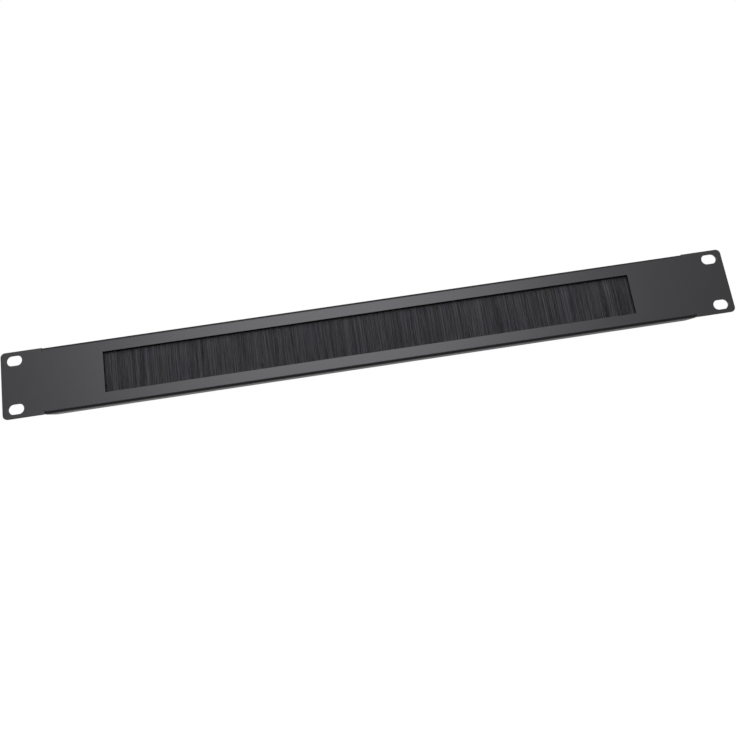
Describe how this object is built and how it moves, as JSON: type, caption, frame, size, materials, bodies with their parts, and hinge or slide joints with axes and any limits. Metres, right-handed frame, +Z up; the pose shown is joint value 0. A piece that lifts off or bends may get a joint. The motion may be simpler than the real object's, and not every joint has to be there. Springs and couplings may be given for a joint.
{
  "type": "rack brush strip panel",
  "caption": "One-unit rack panel of folded black steel, with a long opening closed by a curtain of bristles that lets cables pass and keeps dust and air back.",
  "frame": {"origin": "centre of the four rack slots, on the panel's front face", "axes": "+X along the panel's width, -Y out of the front face towards the viewer, +Z up as it is fitted in a rack"},
  "size_m": [0.4826, 0.008, 0.0436],
  "materials": {
    "powder_coat": "black satin powder coat with a fine orange-peel texture",
    "galvanised_steel": "galvanised strip, dull",
    "drawn_wire": "bright drawn wire",
    "nylon_bristle": "black nylon filaments with a soft sheen",
    "zinc_plate": "zinc plated, passivated",
    "coppered_steel": "copper-plated weld stud",
    "blackened_steel": "phosphated spring steel"
  },
  "bodies": {
    "root": {"panel": "powder_coat", "brush_channel": "galvanised_steel", "core_wire": "drawn_wire", "bristles": "nylon_bristle", "clamp_rail": "zinc_plate", "weld_studs": "coppered_steel", "flat_washers": "zinc_plate", "spring_washers": "blackened_steel", "hex_nuts": "zinc_plate"}
  },
  "joints": []
}
